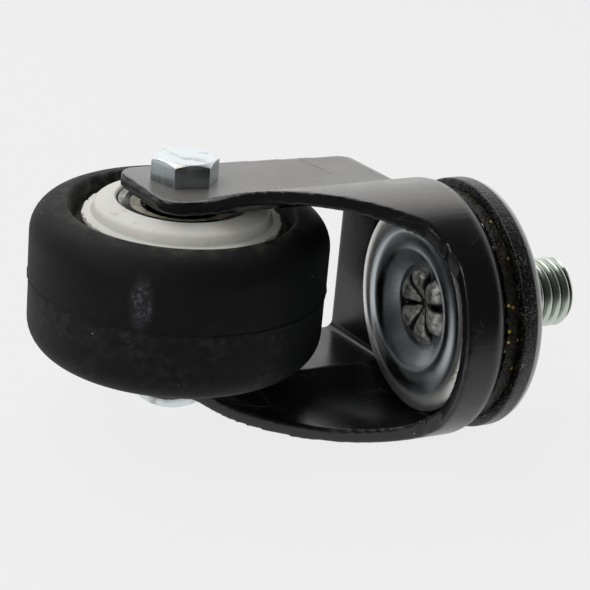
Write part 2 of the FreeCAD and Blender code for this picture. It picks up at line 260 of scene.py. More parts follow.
THREAD_PITCH = 1.75
THREAD_CREST = 5.9
THREAD_ROOT = 5.05
THREAD_STEPS = 72
THREAD_TURNS = 12
THREAD_START = -0.3
KINGPIN_TOP = -0.01
STEM_END = 16.2
STEM_CHAMFER = 0.7
RACE_UNDERSIDE = -10.2
STAR_RADIUS = 6.9
STAR_OFF_CENTRE = 0.6
STAR_TURN = math.radians(15)
STAR_DRAWN_IN = 1.2
NECK = 5.0

pin = shape_of("threaded_stem")
cut_off(pin, (0, 0, KINGPIN_TOP), (0, 0, 1))
bmesh.ops.holes_fill(pin, edges=[edge for edge in pin.edges if edge.is_boundary])
thread = bmesh.new()
tooth = (
    (0.0, THREAD_ROOT), (0.06, THREAD_ROOT + 0.1), (0.15, THREAD_CREST - 0.3),
    (0.26, THREAD_CREST - 0.08), (0.4, THREAD_CREST - 0.01), (0.5, THREAD_CREST),
    (0.6, THREAD_CREST - 0.01), (0.74, THREAD_CREST - 0.08), (0.85, THREAD_CREST - 0.3),
    (0.94, THREAD_ROOT + 0.1), (1.0, THREAD_ROOT),
)
line = [thread.verts.new((radius, 0, (share - 1) * THREAD_PITCH - 1)) for share, radius in tooth]
wire = [thread.edges.new(pair) for pair in zip(line, line[1:])]
bmesh.ops.spin(
    thread, geom=line + wire, cent=(0, 0, 0), axis=(0, 0, 1), angle=THREAD_TURNS * math.tau,
    dvec=(0, 0, THREAD_PITCH / THREAD_STEPS), steps=THREAD_TURNS * THREAD_STEPS, use_merge=False,
)
bmesh.ops.remove_doubles(thread, verts=thread.verts, dist=0.001)
for height, side in ((THREAD_START, -1), (STEM_END, 1)):
    bmesh.ops.edgeloop_fill(thread, edges=cut_off(thread, (0, 0, height), (0, 0, side)))
for vert in thread.verts:
    across = math.hypot(vert.co.x, vert.co.y)
    allowed = min(THREAD_CREST, THREAD_CREST - STEM_CHAMFER + (STEM_END - vert.co.z))
    if across > allowed:
        vert.co.xy *= allowed / across
bmesh.ops.recalc_face_normals(thread, faces=thread.faces)
thread_mesh = bpy.data.meshes.new("thread")
thread.to_mesh(thread_mesh)
thread.free()
pin.from_mesh(thread_mesh)
bpy.data.meshes.remove(thread_mesh)
for vert in pin.verts:
    if vert.co.z < RACE_UNDERSIDE + 0.1:
        across = math.hypot(vert.co.x, vert.co.y)
        around = math.atan2(vert.co.y, vert.co.x) - STAR_TURN
        beside = (around + math.pi / 6) % (math.pi / 3) - math.pi / 6
        around += STAR_TURN - beside + math.pi / 6 * math.sin(3 * beside)
        if across < NECK:
            across = max(0.0, across - STAR_DRAWN_IN * (1 - across / NECK))
        vert.co.x = across * math.cos(around)
        vert.co.y = across * math.sin(around) + STAR_OFF_CENTRE * max(0.0, 1 - across / STAR_RADIUS)
for face in pin.faces:
    face.material_index = 1 if face.calc_center_median().z < RACE_UNDERSIDE else 0

# Zinc plating with a passivated film: cool grey metal with a green-yellow cast that comes and goes,
# and painted shade that darkens the roots between the crests.
zinc_stem, tree, shader, place = start_material("passivated_zinc_thread", Metallic=1.0)
cloud = add(tree, "ShaderNodeTexNoise", {"Vector": place, "Scale": grain(3.0), "Detail": 4.0})
cast = add(
    tree, "ShaderNodeMix",
    {0: cloud.outputs["Fac"], 6: linear("dfe6e2"), 7: linear("b9c2ae")},
    data_type="RGBA",
)
# Painted shade: darker in the thread's roots, towards the axis.
root_shade = add(
    tree, "ShaderNodeMapRange",
    {"Value": from_axis(tree, place), "From Min": 5.1 * MM, "From Max": 5.5 * MM},
)
root_shaded = add(
    tree, "ShaderNodeMix", {0: root_shade, 6: linear("4c4f47"), 7: cast.outputs[2]}, data_type="RGBA"
)
fine = add(tree, "ShaderNodeTexNoise", {"Vector": place, "Scale": grain(0.7), "Detail": 3.0})
rough = add(
    tree, "ShaderNodeMapRange", {"Value": fine.outputs["Fac"], "To Min": 0.24, "To Max": 0.42}
)
bump = add(
    tree, "ShaderNodeBump", {"Strength": 0.12, "Distance": 0.05 * MM, "Height": fine.outputs["Fac"]}
)
link_to(shader, Base_Color=root_shaded.outputs[2], Roughness=rough, Normal=bump)

# Bare staked steel: dull, coarse and grey where the tool crushed it, and darkened in the grooves
# between the petals by grease and by painted shade.
staked, tree, shader, place = start_material("staked_bare_steel", Metallic=0.85, Roughness=0.46)
crush = add(
    tree, "ShaderNodeTexNoise",
    {"Vector": place, "Scale": grain(1.1), "Detail": 7.0, "Roughness": 0.65},
)
centred = add(
    tree, "ShaderNodeVectorMath",
    {0: place, 1: (0, -0.6 * STAR_OFF_CENTRE * MM, 0)},
    operation="ADD",
)
split = add(tree, "ShaderNodeSeparateXYZ", {0: centred})
around = add(
    tree, "ShaderNodeMath", {0: split.outputs["Y"], 1: split.outputs["X"]}, operation="ARCTAN2"
)
six = add(tree, "ShaderNodeMath", {0: around, 1: 6.0, 2: -6 * STAR_TURN}, operation="MULTIPLY_ADD")
ridge = add(tree, "ShaderNodeMath", {0: six}, operation="COSINE")
# Darker in the grooves between the petals: grease, and painted shade.
groove_grease_and_shade = add(
    tree, "ShaderNodeMapRange",
    {"Value": ridge, "From Min": -0.85, "From Max": -0.2},
    interpolation_type="SMOOTHSTEP",
)
patchy = add(
    tree, "ShaderNodeMapRange", {"Value": crush.outputs["Fac"], "From Min": 0.36, "From Max": 0.64}
)
tone = add(
    tree, "ShaderNodeMix", {0: patchy, 6: linear("62625f"), 7: linear("dcdcd8")}, data_type="RGBA"
)
grease_and_shade_in_grooves = add(
    tree, "ShaderNodeMix", {0: groove_grease_and_shade, 6: linear("1a1a1a"), 7: tone.outputs[2]}, data_type="RGBA"
)
bump = add(
    tree, "ShaderNodeBump", {"Strength": 0.55, "Distance": 0.3 * MM, "Height": crush.outputs["Fac"]}
)
link_to(shader, Base_Color=grease_and_shade_in_grooves.outputs[2], Normal=bump)
dressed("stem_and_kingpin", pin, "mounting_head", ["threaded_stem"], "zinc_stem", zinc_stem, staked)


# Head race: a cap pressed from 2.4 mm sheet steel and stoved black. It is pushed over the
# stem's seat, and its turned-down rim keeps the upper balls in.
def turned(corners, steps=240, rounding_steps=6):
    """Solid about Z from (radius, height) corners, with a rounding's reach where it has one."""
    shape = bmesh.new()
    points = [shape.verts.new((corner[0], 0, corner[1])) for corner in corners]
    for start, end in zip(points, points[1:] + points[:1]):
        if start.co.x or end.co.x:
            shape.edges.new((start, end))
    for point, corner in zip(points, corners):
        if len(corner) == 3:
            bmesh.ops.bevel(
                shape, geom=[point], offset=corner[2], segments=rounding_steps,
                affect="VERTICES", profile=0.5, material=-1,
            )
    bmesh.ops.spin(
        shape, geom=shape.verts[:] + shape.edges[:], cent=(0, 0, 0), axis=(0, 0, 1),
        angle=math.tau, steps=steps, use_merge=True,
    )
    bmesh.ops.remove_doubles(shape, verts=shape.verts, dist=0.0005)
    bmesh.ops.recalc_face_normals(shape, faces=shape.faces)
    return shape


HEAD_RIM = 21.0
HEAD_RIM_INSIDE = 19.05
HEAD_DEPTH = 4.1
HEAD_SHEET = 2.4
STEM_SEAT = 6.6
RIM_LUMPS = 0.07

cap = turned([
    (STEM_SEAT, 0.0),
    (HEAD_RIM, 0.0, 1.8),
    (HEAD_RIM, -HEAD_DEPTH, 0.3),
    (HEAD_RIM_INSIDE, -HEAD_DEPTH, 0.15),
    (HEAD_RIM_INSIDE, -HEAD_SHEET, 1.4),
    (STEM_SEAT, -HEAD_SHEET),
])
for vert in cap.verts:
    if vert.co.z < -HEAD_DEPTH + 0.4:
        vert.co.z += RIM_LUMPS * noise.noise(vert.co * 0.9)

# Stoved enamel on the cap: gloss black with a slight orange peel, with a painted highlight of paler
# paint round the edge where it turns over, and coarse and lumpy on the rim, where grease and dust
# cling, with pale flecks there that are painted glints.
cap_enamel, tree, shader, place = start_material(
    "black_stoved_cap_enamel", Specular_IOR_Level=0.5, Coat_Roughness=0.1
)
peel = add(tree, "ShaderNodeTexNoise", {"Vector": place, "Scale": grain(0.9), "Detail": 3.0})
torn = add(
    tree, "ShaderNodeTexNoise",
    {"Vector": place, "Scale": grain(0.5), "Detail": 4.0, "Roughness": 0.6},
)
height = add(tree, "ShaderNodeSeparateXYZ", {0: place}).outputs["Z"]
edge = add(
    tree, "ShaderNodeMapRange",
    {"Value": height, "From Min": -1.5 * MM, "From Max": -1.9 * MM},
    interpolation_type="SMOOTHSTEP",
)
lumpy = add(
    tree, "ShaderNodeMapRange", {"Value": torn.outputs["Fac"], "From Min": 0.5, "From Max": 0.75}
)
tint = add(
    tree, "ShaderNodeMix", {0: lumpy, 6: linear("060606"), 7: linear("3c3b38")}, data_type="RGBA"
)
# Painted highlight: paler paint round the edge where the cap turns over.
edge_highlight_band = add(
    tree, "ShaderNodeMapRange",
    {"Value": from_axis(tree, place), "From Min": 19.6 * MM, "From Max": 20.2 * MM},
    interpolation_type="SMOOTHSTEP",
)
# Painted glints: sparse pale flecks on the cap's rim.
glint = add(tree, "ShaderNodeTexNoise", {"Vector": place, "Scale": grain(0.3), "Detail": 2.0})
sharp = add(
    tree, "ShaderNodeMapRange", {"Value": glint.outputs["Fac"], "From Min": 0.6, "From Max": 0.7}
)
drift = add(tree, "ShaderNodeTexNoise", {"Vector": place, "Scale": grain(4.0), "Detail": 3.0})
glint_patches = add(
    tree, "ShaderNodeMapRange",
    {"Value": drift.outputs["Fac"], "From Min": 0.5, "From Max": 0.64, "To Max": 0.8},
)
painted_glints = add(tree, "ShaderNodeMath", {0: sharp, 1: glint_patches}, operation="MULTIPLY")
glint_flecked = add(
    tree, "ShaderNodeMix", {0: painted_glints, 6: tint.outputs[2], 7: linear("8e8e89")}, data_type="RGBA"
)
wear_and_edge_highlight = add(
    tree, "ShaderNodeMix", {0: edge_highlight_band, 6: linear("161617"), 7: linear("9a9c9c")}, data_type="RGBA"
)
coat = add(
    tree, "ShaderNodeMix", {0: edge, 6: wear_and_edge_highlight.outputs[2], 7: glint_flecked.outputs[2]}, data_type="RGBA"
)
smooth = add(
    tree, "ShaderNodeMapRange", {"Value": peel.outputs["Fac"], "To Min": 0.16, "To Max": 0.3}
)
rough = add(tree, "ShaderNodeMix", {0: edge, 2: smooth, 3: 0.27}, data_type="FLOAT")
relief = add(
    tree, "ShaderNodeMix",
    {0: edge, 2: peel.outputs["Fac"], 3: torn.outputs["Fac"]},
    data_type="FLOAT",
)
depth = add(tree, "ShaderNodeMapRange", {"Value": edge, "To Min": 0.03 * MM, "To Max": 0.25 * MM})
bump = add(tree, "ShaderNodeBump", {"Strength": 0.8, "Distance": depth, "Height": relief})
varnish = add(tree, "ShaderNodeMapRange", {"Value": edge, "To Min": 1.0, "To Max": 0.0})
link_to(shader, Base_Color=coat.outputs[2], Roughness=rough, Coat_Weight=varnish, Normal=bump)
dressed("head_race_cap", cap, "mounting_head", ["top_race"], "black_race", cap_enamel)


# Swivel balls: two rows of bearing balls, loose in their tracks and packed in grease.
def finish_nodes(material, *names):
    """Gives CAD nodes that keep their own mesh a finish."""
    for name in names:
        node[name].data.materials.clear()
        node[name].data.materials.append(material)


# Chrome steel under grease: bright and smooth, with a brown-black film that thickens in
# clouds and blurs the shine.
greased_steel, tree, shader, place = start_material("greased_ball_steel", Metallic=1.0)
film = add(tree, "ShaderNodeTexNoise", {"Vector": place, "Scale": grain(2.2), "Detail": 5.0})
thick = add(
    tree, "ShaderNodeMapRange", {"Value": film.outputs["Fac"], "From Min": 0.38, "From Max": 0.6}
)
colour = add(
    tree, "ShaderNodeMix", {0: thick, 6: linear("8d8c88"), 7: linear("1d1b18")}, data_type="RGBA"
)
rough = add(tree, "ShaderNodeMapRange", {"Value": thick, "To Min": 0.12, "To Max": 0.34})
link_to(shader, Base_Color=colour.outputs[2], Roughness=rough)
finish_nodes(greased_steel, "upper_swivel_balls", "lower_swivel_balls")


# Grease in the head: dark bearing grease that was packed round the upper balls and has
# worked out into the gap under the cap's rim. It clings to the rim in lumps.
def specks(tree, place, spacing, size, rarity):
    """Mask of specks in some cells of this many millimetres, and a random share for each."""
    cell = add(tree, "ShaderNodeTexVoronoi", {"Vector": place, "Scale": grain(spacing)})
    pick = add(tree, "ShaderNodeSeparateColor", {0: cell.outputs["Color"]})
    near = add(
        tree, "ShaderNodeMath", {0: cell.outputs["Distance"], 1: size}, operation="LESS_THAN"
    )
    rare = add(
        tree, "ShaderNodeMath", {0: pick.outputs["Red"], 1: rarity}, operation="GREATER_THAN"
    )
    both = add(tree, "ShaderNodeMath", {0: near, 1: rare}, operation="MULTIPLY")
    return both, pick.outputs["Green"]


GREASE_STEPS = 480
GREASE_LUMP = 1.6
GREASE_TOP = -4.2
GREASE_DEPTH = 2.1
GREASE_INSIDE = 19.22
GREASE_BULGE = 0.2
GREASE_DROOP = 0.15

lumps = turned([
    (19.12, -4.3),
    (19.3, -4.14, 0.1),
    (19.45, -4.9, 0.25),
    (19.4, -5.8, 0.25),
    (19.25, -6.3, 0.1),
    (19.08, -6.25),
    (19.1, -5.2),
], steps=GREASE_STEPS, rounding_steps=4)
for vert in lumps.verts:
    across = math.hypot(vert.co.x, vert.co.y)
    down = min(1.0, max(0.0, (GREASE_TOP - vert.co.z) / GREASE_DEPTH))
    lump = noise.noise(vert.co / GREASE_LUMP) + 0.5 * noise.noise(vert.co / (0.4 * GREASE_LUMP))
    if across > GREASE_INSIDE:
        vert.co.xy *= 1 + GREASE_BULGE * lump / across
    vert.co.z += GREASE_DROOP * down * lump

# Dirty grease: wet, black-brown and glossy, with sparse flakes, brass-yellow to rusty, that are
# painted glints.
grease, tree, shader, place = start_material("dark_bearing_grease", Specular_IOR_Level=0.4)
body = add(tree, "ShaderNodeTexNoise", {"Vector": place, "Scale": grain(0.9), "Detail": 5.0})
wet = add(
    tree, "ShaderNodeMix",
    {0: body.outputs["Fac"], 6: linear("0b0a09"), 7: linear("26221b")},
    data_type="RGBA",
)
# Painted glints: sparse brass-yellow to rusty flakes.
glint_flake, pick = specks(tree, place, 1.0, 0.3, 0.82)
glint_hue = add(
    tree, "ShaderNodeMix", {0: pick, 6: linear("b9a24a"), 7: linear("6b3a22")}, data_type="RGBA"
)
glint_speckled = add(
    tree, "ShaderNodeMix", {0: glint_flake, 6: wet.outputs[2], 7: glint_hue.outputs[2]}, data_type="RGBA"
)
rough = add(
    tree, "ShaderNodeMapRange", {"Value": body.outputs["Fac"], "To Min": 0.15, "To Max": 0.5}
)
ripple = add(tree, "ShaderNodeTexNoise", {"Vector": place, "Scale": grain(0.4), "Detail": 4.0})
bump = add(
    tree, "ShaderNodeBump", {"Strength": 0.9, "Distance": 0.5 * MM, "Height": ripple.outputs["Fac"]}
)
link_to(shader, Base_Color=glint_speckled.outputs[2], Roughness=rough, Normal=bump)
dressed("head_grease", lumps, "mounting_head", [], "black_race", grease, angle=80)


# Fork: one pressing of 2.4 mm sheet steel, a drawn crown that runs on into the web and the
# two legs, stoved black. Its edges are slightly rolled over by the press tool.
def joined(*shapes):
    """One shape of several that touch or stand in each other."""
    whole = shapes[0]
    for shape in shapes[1:]:
        mesh = bpy.data.meshes.new("joined")
        shape.to_mesh(mesh)
        shape.free()
        whole.from_mesh(mesh)
        bpy.data.meshes.remove(mesh)
    return whole


def corner_web(side):
    """The sheet left in the corner of skirt and leg, cut off straight, on one side of the crown."""
    web = bmesh.new()
    points = [
        web.verts.new((CROWN_INSIDE, 0, WEB_TOP)), web.verts.new((CROWN_OUTSIDE, 0, WEB_TOP)),
        web.verts.new((CROWN_OUTSIDE, 0, WEB_FOOT)), web.verts.new((CROWN_INSIDE, 0, WEB_FOOT)),
    ]
    face = web.faces.new(points)
    to_start = Matrix.Rotation(math.radians(WEB_START * side), 3, "Z")
    bmesh.ops.rotate(web, verts=points, matrix=to_start)
    bmesh.ops.spin(
        web, geom=[face], cent=(0, 0, 0), axis=(0, 0, 1), angle=math.radians(WEB_ANGLE * side),
        steps=40, use_merge=False, use_duplicate=False,
    )
    cut_off(web, SKIRT_CUT, (LEG_CUT.z - SKIRT_CUT.z, 0, SKIRT_CUT.x - LEG_CUT.x))
    bmesh.ops.holes_fill(web, edges=[edge for edge in web.edges if edge.is_boundary])
    bmesh.ops.recalc_face_normals(web, faces=web.faces)
    return web


def softened(sharp, voxel, passes, reach):
    """The shape with its sharp edges eased; further than reach from them it isn't moved."""
    surface = BVHTree.FromBMesh(sharp)
    spots = []
    for edge in sharp.edges:
        if edge.calc_face_angle(0) > math.radians(40):
            steps = int(edge.calc_length() / 0.2) + 1
            start, end = edge.verts[0].co, edge.verts[1].co
            spots += [start.lerp(end, step / steps) for step in range(steps + 1)]
    near = KDTree(len(spots))
    for index, spot in enumerate(spots):
        near.insert(spot, index)
    near.balance()
    sharp_mesh = bpy.data.meshes.new("sharp_blank")
    sharp.to_mesh(sharp_mesh)
    sharp.free()
    blank = bpy.data.objects.new("pressed_blank", sharp_mesh)
    bpy.context.scene.collection.objects.link(blank)
    grid = blank.modifiers.new("even_grid", "REMESH")
    grid.mode = "VOXEL"
    grid.voxel_size = voxel
    ease = blank.modifiers.new("rolled_edges", "SMOOTH")
    ease.factor = 0.5
    ease.iterations = passes
    depsgraph = bpy.context.evaluated_depsgraph_get()
    eased = bpy.data.meshes.new_from_object(blank.evaluated_get(depsgraph))
    bpy.data.objects.remove(blank)
    bpy.data.meshes.remove(sharp_mesh)
    shape = bmesh.new()
    shape.from_mesh(eased)
    bpy.data.meshes.remove(eased)
    for vert in shape.verts:
        away = near.find(vert.co)[2]
        if away > reach:
            share = min(1.0, 2 * (away - reach) / reach)
            vert.co = vert.co.lerp(surface.find_nearest(vert.co)[0], share)
    return shape


CROWN_OUTSIDE = 21.5
CROWN_INSIDE = 19.1
SKIRT_CUT = Vector((-15.9, 0.0, -14.9))
LEG_CUT = Vector((-9.98, 0.0, -18.09))
WEB_TOP = -14.4
WEB_FOOT = -18.6
WEB_START = 100
WEB_ANGLE = 52
NICK = 0.45
NICK_REACH = 0.9
NICK_PLACE = 0.45
FORK_VOXEL = 0.37
FORK_EASING = 5
FORK_EDGE_REACH = 0.6

sheet_steel = joined(shape_of("fork"), corner_web(1), corner_web(-1))
pressing = softened(sheet_steel, FORK_VOXEL, FORK_EASING, FORK_EDGE_REACH)
middle = SKIRT_CUT.lerp(LEG_CUT, NICK_PLACE)
into_sheet = Vector((SKIRT_CUT.z - LEG_CUT.z, 0, LEG_CUT.x - SKIRT_CUT.x)).normalized()
for vert in pressing.verts:
    away = math.hypot(vert.co.x - middle.x, vert.co.z - middle.z)
    if away < NICK_REACH:
        vert.co += into_sheet * NICK * (1 - away / NICK_REACH)

# Stoved enamel on the pressing: semi-gloss black with orange peel, hairline scratches, a few pale
# specks of dust, and a pale haze on the faces that lie on top, which is dust and a painted sheen.
enamel, tree, shader, place = start_material("black_stoved_enamel", Specular_IOR_Level=0.6)
peel = add(tree, "ShaderNodeTexNoise", {"Vector": place, "Scale": grain(1.0), "Detail": 3.0})
sag = add(tree, "ShaderNodeTexNoise", {"Vector": place, "Scale": grain(7.0), "Detail": 4.0})
drawn = add(
    tree, "ShaderNodeMapping",
    {"Vector": place, "Rotation": (0.3, 0.5, 0.9), "Scale": (1.0, 6.0, 1.6)},
)
cells = add(
    tree, "ShaderNodeTexVoronoi",
    {"Vector": drawn, "Scale": grain(17.0)},
    feature="DISTANCE_TO_EDGE",
)
hair = add(tree, "ShaderNodeMath", {0: cells.outputs["Distance"], 1: 0.006}, operation="LESS_THAN")
wear_and_edge_highlight = add(
    tree, "ShaderNodeMapRange", {"Value": sag.outputs["Fac"], "From Min": 0.52, "From Max": 0.6}
)
scratch = add(tree, "ShaderNodeMath", {0: hair, 1: wear_and_edge_highlight}, operation="MULTIPLY")
scuff = add(
    tree, "ShaderNodeMix", {0: scratch, 6: linear("121213"), 7: linear("3c3c3d")}, data_type="RGBA"
)
motes = specks(tree, place, 2.4, 0.055, 0.93)[0]
dusty = add(
    tree, "ShaderNodeMix", {0: motes, 6: scuff.outputs[2], 7: linear("9a9a95")}, data_type="RGBA"
)
normal = add(tree, "ShaderNodeTexCoord").outputs["Normal"]
facing = add(tree, "ShaderNodeSeparateXYZ", {0: normal})
# Faces that lie on top get a pale haze: dust, and a painted sheen.
up = add(
    tree, "ShaderNodeMapRange",
    {"Value": facing.outputs["Y"], "From Min": 0.88, "From Max": 0.99, "To Max": 0.9},
    interpolation_type="SMOOTHSTEP",
)
split = add(tree, "ShaderNodeSeparateXYZ", {0: place})
on_top = add(tree, "ShaderNodeMath", {0: split.outputs["Y"], 1: 10 * MM}, operation="GREATER_THAN")
top_dust_and_sheen = add(tree, "ShaderNodeMath", {0: up, 1: on_top}, operation="MULTIPLY")
dust_and_sheen_hazed = add(
    tree, "ShaderNodeMix", {0: top_dust_and_sheen, 6: dusty.outputs[2], 7: linear("7e7c7a")}, data_type="RGBA"
)
smooth = add(
    tree, "ShaderNodeMapRange",
    {"Value": sag.outputs["Fac"], "From Min": 0.3, "From Max": 0.7, "To Min": 0.2, "To Max": 0.33},
)
dull = add(tree, "ShaderNodeMath", {0: scratch, 1: 0.2, 2: smooth}, operation="MULTIPLY_ADD")
bump = add(
    tree, "ShaderNodeBump", {"Strength": 0.16, "Distance": 0.08 * MM, "Height": peel.outputs["Fac"]}
)
link_to(shader, Base_Color=dust_and_sheen_hazed.outputs[2], Roughness=dull, Normal=bump)
dressed("fork_pressing", pressing, "fork_assembly", ["fork"], "black_fork", enamel, angle=180)


# Lower race: a dished washer pressed from 1.7 mm sheet, bright zinc-plated. The staked end
# of the kingpin holds it, and its ball groove stands out below as a ridge.
RACE_RIM = 17.5
FLANGE_VALLEY = 13.7
STAIN = Vector((-15.7, -5.6, -12.5))

dish = turned([
    (NECK, -8.5),
    (7.27, -8.5, 0.6),
    (11.0, -11.11, 1.1),
    (13.44, -9.4, 0.6),
    (RACE_RIM - 0.2, -10.7, 0.3),
    (RACE_RIM, -12.0, 0.35),
    (15.9, -12.75, 1.0),
    (FLANGE_VALLEY, -12.3, 0.9),
    (11.0, -13.5, 1.9),
    (6.9, -10.2, 0.7),
    (NECK, -10.2),
])

# Bright zinc on pressed steel: a cool mirror, its shine stretched round the axis by the press
# tool's fine grooves and down the dish's wall in streaks, with an old yellow-green stain.
race_zinc, tree, shader, place = start_material("bright_zinc_pressed_race", Anisotropic=0.8)
cloud = add(tree, "ShaderNodeTexNoise", {"Vector": place, "Scale": grain(4.0), "Detail": 5.0})
plating = add(
    tree, "ShaderNodeMix",
    {0: cloud.outputs["Fac"], 6: linear("a9b3ba"), 7: linear("c9ced0")},
    data_type="RGBA",
)
split = add(tree, "ShaderNodeSeparateXYZ", {0: place})
across = from_axis(tree, place)
turn = add(
    tree, "ShaderNodeMath", {0: split.outputs["Y"], 1: split.outputs["X"]}, operation="ARCTAN2"
)
round_it = add(tree, "ShaderNodeMath", {0: turn, 1: 9.0 * MM}, operation="MULTIPLY")
along = add(tree, "ShaderNodeMath", {0: split.outputs["Z"], 1: 0.1}, operation="MULTIPLY")
wall = add(tree, "ShaderNodeCombineXYZ", {0: round_it, 2: along})
streak = add(tree, "ShaderNodeTexNoise", {"Vector": wall, "Scale": grain(0.7), "Detail": 3.0})
on_wall = add(
    tree, "ShaderNodeMapRange",
    {"Value": across, "From Min": 11.5 * MM, "From Max": 10.0 * MM, "To Max": 0.25},
    interpolation_type="SMOOTHSTEP",
)
lines = add(
    tree, "ShaderNodeMapRange", {"Value": streak.outputs["Fac"], "From Min": 0.45, "From Max": 0.7}
)
drawn = add(tree, "ShaderNodeMath", {0: lines, 1: on_wall}, operation="MULTIPLY")
toned = add(
    tree, "ShaderNodeMix", {0: drawn, 6: plating.outputs[2], 7: linear("e2e6ee")}, data_type="RGBA"
)
flange = add(
    tree, "ShaderNodeMapRange",
    {
        "Value": across,
        "From Min": (FLANGE_VALLEY + 0.4) * MM, "From Max": (FLANGE_VALLEY + 1.2) * MM,
    },
    interpolation_type="SMOOTHSTEP",
)
rubbed = add(
    tree, "ShaderNodeMix", {0: flange, 6: toned.outputs[2], 7: linear("e4e6e2")}, data_type="RGBA"
)
near_stain = add(
    tree, "ShaderNodeVectorMath", {0: place, 1: tuple(STAIN * MM)}, operation="DISTANCE"
)
in_stain = add(
    tree, "ShaderNodeMapRange",
    {"Value": near_stain.outputs["Value"], "From Min": 2.4 * MM, "From Max": 0.8 * MM},
)
blotch = add(tree, "ShaderNodeTexNoise", {"Vector": place, "Scale": grain(0.6), "Detail": 3.0})
spot = add(
    tree, "ShaderNodeMapRange",
    {"Value": blotch.outputs["Fac"], "From Min": 0.48, "From Max": 0.6, "To Max": 0.7},
)
soaked = add(tree, "ShaderNodeMath", {0: in_stain, 1: spot}, operation="MULTIPLY")
stained = add(
    tree, "ShaderNodeMix", {0: soaked, 6: rubbed.outputs[2], 7: linear("a39c4e")}, data_type="RGBA"
)
less_metal = add(tree, "ShaderNodeMapRange", {"Value": flange, "To Min": 1.0, "To Max": 0.9})
smooth = add(
    tree, "ShaderNodeMapRange", {"Value": cloud.outputs["Fac"], "To Min": 0.24, "To Max": 0.42}
)
fine = add(tree, "ShaderNodeTexNoise", {"Vector": place, "Scale": grain(0.6), "Detail": 4.0})
bump = add(
    tree, "ShaderNodeBump", {"Strength": 0.15, "Distance": 0.08 * MM, "Height": fine.outputs["Fac"]}
)
circling = add(tree, "ShaderNodeTangent", direction_type="RADIAL", axis="Z")
link_to(
    shader,
    Tangent=circling,
    Base_Color=stained.outputs[2],
    Metallic=less_metal,
    Roughness=smooth,
    Normal=bump,
)
dressed("lower_race_washer", dish, "mounting_head", ["lower_race"], "zinc_race", race_zinc)


# Tyre: black rubber moulded on to the hub in a two-part mould, which left a ragged line of
# flash round the middle of the tread.
AXLE = Vector((22.6, 0.0, -45.0))


def on_axle(shape, turn=0.0):
    """Moves a shape made about Z onto the wheel's axle, its +Z turned to +Y."""
    bmesh.ops.rotate(shape, verts=shape.verts, matrix=Matrix.Rotation(math.radians(turn), 3, "Z"))
    bmesh.ops.rotate(shape, verts=shape.verts, matrix=Matrix.Rotation(math.radians(-90), 3, "X"))
    bmesh.ops.translate(shape, verts=shape.verts, vec=AXLE)
    return shape


def from_axle(tree, place):
    """Place measured from the wheel's middle, and the distance from its axle."""
    centred = add(tree, "ShaderNodeVectorMath", {0: place, 1: tuple(-AXLE * MM)}, operation="ADD")
    return centred, from_axis(tree, centred, (1.0, 0.0, 1.0))


def both_halves(half):
    """Whole outline of a piece that is alike each side of height 0, from its upper half."""
    lower = [(corner[0], -corner[1]) + tuple(corner[2:]) for corner in reversed(half)]
    return list(half) + [corner for corner in lower if corner[1] != 0]


TYRE_RADIUS = 25.0
TYRE_HALF_WIDTH = 12.6
BESIDE_FLASH = 0.6
FLASH_HALF_WIDTH = 0.16
FLASH_HEIGHT = 0.18
FLASH_WAVE = 0.1
MOULD_STEP = 0.12
STEP_FROM = 20.0
SCUFF = Vector((2.8, 5.0, -60.3))

rubber_ring = turned(both_halves([
    (18.2, 0.0),
    (18.2, 8.2),
    (15.9, 9.0),
    (15.9, 9.3),
    (17.6, 9.3, 0.6),
    (19.0, TYRE_HALF_WIDTH, 0.6),
    (TYRE_RADIUS, TYRE_HALF_WIDTH, 5.2),
    (TYRE_RADIUS, BESIDE_FLASH),
    (TYRE_RADIUS, FLASH_HALF_WIDTH),
    (TYRE_RADIUS + FLASH_HEIGHT, 0.0),
]), steps=360, rounding_steps=12)
for vert in rubber_ring.verts:
    across = math.hypot(vert.co.x, vert.co.y)
    if across > TYRE_RADIUS + 0.01:
        vert.co.xy *= 1 + FLASH_WAVE * (noise.noise(vert.co * 0.7) - 0.4) / across
        vert.co.z += FLASH_WAVE * noise.noise(vert.co * 0.25)
    elif across > STEP_FROM and vert.co.z < 0:
        vert.co.xy *= 1 - MOULD_STEP / across

# Moulded rubber: near black and matt, with pale dust patches that gather in its lower half, where
# they also paint the floor's bounce light, grey-brown streaks in the side, a grey scuff on the
# tread and a few motes.
rubber, tree, shader, place = start_material("moulded_black_rubber", Specular_IOR_Level=0.16)
split = add(tree, "ShaderNodeSeparateXYZ", {0: place})
broad = add(
    tree, "ShaderNodeTexNoise",
    {"Vector": place, "Scale": grain(9.0), "Detail": 6.0, "Roughness": 0.6},
)
spots = add(
    tree, "ShaderNodeTexNoise",
    {"Vector": place, "Scale": grain(1.6), "Detail": 6.0, "Roughness": 0.65},
)
# More dust towards the lower half: dust, and painted bounce light from the floor.
lower_dust_and_bounce = add(
    tree, "ShaderNodeMapRange",
    {
        "Value": split.outputs["Y"], "From Min": 0.3 * MM, "From Max": -0.5 * MM,
        "To Min": 0.15, "To Max": 0.9,
    },
)
patch = add(
    tree, "ShaderNodeMapRange", {"Value": broad.outputs["Fac"], "From Min": 0.4, "From Max": 0.66}
)
speck = add(
    tree, "ShaderNodeMapRange", {"Value": spots.outputs["Fac"], "From Min": 0.42, "From Max": 0.68}
)
rubbed = add(tree, "ShaderNodeMath", {0: patch, 1: speck}, operation="MULTIPLY")
amount = add(tree, "ShaderNodeMath", {0: rubbed, 1: lower_dust_and_bounce}, operation="MULTIPLY")
dust_and_bounce_lit = add(
    tree, "ShaderNodeMix", {0: amount, 6: linear("121413"), 7: linear("333431")}, data_type="RGBA"
)
centred, across = from_axle(tree, place)
